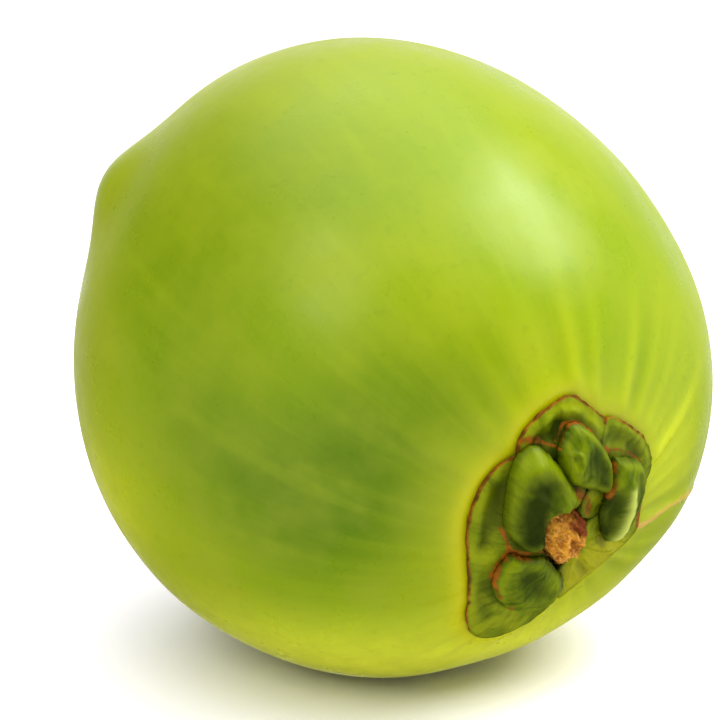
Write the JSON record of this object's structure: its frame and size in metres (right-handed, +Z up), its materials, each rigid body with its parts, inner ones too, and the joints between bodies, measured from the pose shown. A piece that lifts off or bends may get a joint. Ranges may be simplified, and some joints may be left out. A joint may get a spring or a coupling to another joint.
{
  "type": "green coconut",
  "caption": "Whole green coconut lying on its side, a smooth rounded husk with its calyx of leathery lobes round the stalk scar still on.",
  "frame": {"origin": "on the surface that the fruit rests on, below the middle of its width and length", "axes": "+Z up; the stalk end with the calyx points towards -Y, a little to +X, and dips about 21 degrees; the tip points the other way"},
  "size_m": [0.1706, 0.1722, 0.1653],
  "materials": {
    "husk": "smooth waxy skin, semi-gloss",
    "outer_lobe": "thick leathery lobe with a brown dried margin",
    "inner_lobe": "thick leathery lobe, darker, glossy in places",
    "stalk_scar": "rough torn fibres, matt"
  },
  "bodies": {
    "root": {"husk": "husk", "outer_lobe_left": "outer_lobe", "outer_lobe_top": "outer_lobe", "outer_lobe_right": "outer_lobe", "outer_lobe_lower": "outer_lobe", "inner_lobe_left": "inner_lobe", "inner_lobe_top": "inner_lobe", "inner_lobe_right": "inner_lobe", "inner_lobe_lower": "inner_lobe", "stalk_scar": "stalk_scar"}
  },
  "joints": []
}
